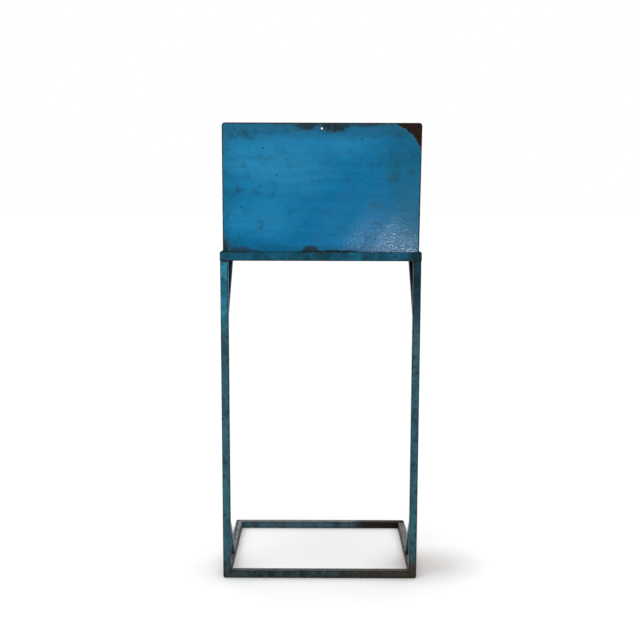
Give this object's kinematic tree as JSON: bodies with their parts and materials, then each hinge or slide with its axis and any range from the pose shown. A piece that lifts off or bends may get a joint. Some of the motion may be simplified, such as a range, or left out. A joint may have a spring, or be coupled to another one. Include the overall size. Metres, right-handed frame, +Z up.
{
  "type": "mailbox",
  "caption": "Sheet-steel mailbox with a sloping lid, letter slot and cam lock, bolted into the angle cradle of a cantilevered welded bar stand, painted blue and worn.",
  "frame": {"origin": "on the floor, at the middle of the outline seen from above", "axes": "+Z up; -Y is the back, with the legs and the hanging plate; +Y is the front, with the letter slot and the lock; +X is to the right seen from the back"},
  "size_m": [0.495, 0.392, 1.149],
  "materials": {
    "box_paint": "satin blue enamel, streaked, pitted and chipped to rust at its edges",
    "stand_paint": "thin teal-blue paint over bar, worn to brown steel near the floor",
    "worn_steel": "dulled plating with rust at edges",
    "brass": "tarnished",
    "card": "blank, aged paper card"
  },
  "bodies": {
    "root": {"back_plate": "box_paint", "base_front_bar": "stand_paint", "base_left_rail": "stand_paint", "base_rear_bar": "stand_paint", "base_right_rail": "stand_paint", "bolt_1": "worn_steel", "bolt_2": "worn_steel", "bolt_3": "worn_steel", "bolt_4": "worn_steel", "box_shell": "box_paint", "cradle_front_angle": "stand_paint", "cradle_left_angle": "stand_paint", "cradle_rear_angle": "stand_paint", "cradle_right_angle": "stand_paint", "flap_rod": "worn_steel", "front_wall": "box_paint", "header_strip": "box_paint", "hinge_body_leaf": "worn_steel", "hinge_body_rivet_1": "worn_steel", "hinge_body_rivet_2": "worn_steel", "hinge_body_rivet_3": "worn_steel", "hinge_pin": "worn_steel", "label_card": "card", "label_frame": "worn_steel", "label_rivet_1": "worn_steel", "label_rivet_2": "worn_steel", "left_leg": "stand_paint", "lock_barrel": "brass", "lock_nut": "worn_steel", "lower_left_brace": "stand_paint", "lower_right_brace": "stand_paint", "nut_1": "worn_steel", "nut_2": "worn_steel", "nut_3": "worn_steel", "nut_4": "worn_steel", "right_leg": "stand_paint", "slot_frame": "box_paint", "slot_rivet_1": "worn_steel", "slot_rivet_2": "worn_steel", "upper_left_brace": "stand_paint", "upper_right_brace": "stand_paint", "washer_1": "worn_steel", "washer_2": "worn_steel", "washer_3": "worn_steel", "washer_4": "worn_steel"},
    "lid": {"lid": "box_paint", "hinge_lid_leaf": "worn_steel", "hinge_lid_rivet_1": "worn_steel", "hinge_lid_rivet_2": "worn_steel", "hinge_lid_rivet_3": "worn_steel", "lid_knob": "worn_steel", "knob_nut": "worn_steel", "lid_catch": "worn_steel"},
    "flap": {"slot_flap": "box_paint"},
    "lock": {"lock_plug": "brass", "lock_cam": "worn_steel", "cam_screw": "worn_steel"}
  },
  "joints": [
    {"name": "lid_hinge", "type": "hinge", "parent": "root", "child": "lid", "pos_m": [0, -0.172, 1.1125], "axis": [1, 0, 0], "range_deg": [0, 130]},
    {"name": "flap_hinge", "type": "hinge", "parent": "root", "child": "flap", "pos_m": [0, 0.1262, 0.9945], "axis": [1, 0, 0], "range_deg": [0, 85]},
    {"name": "lock_turn", "type": "hinge", "parent": "root", "child": "lock", "pos_m": [0, 0.12, 1.028], "axis": [0, -1, 0], "range_deg": [0, 90]}
  ]
}
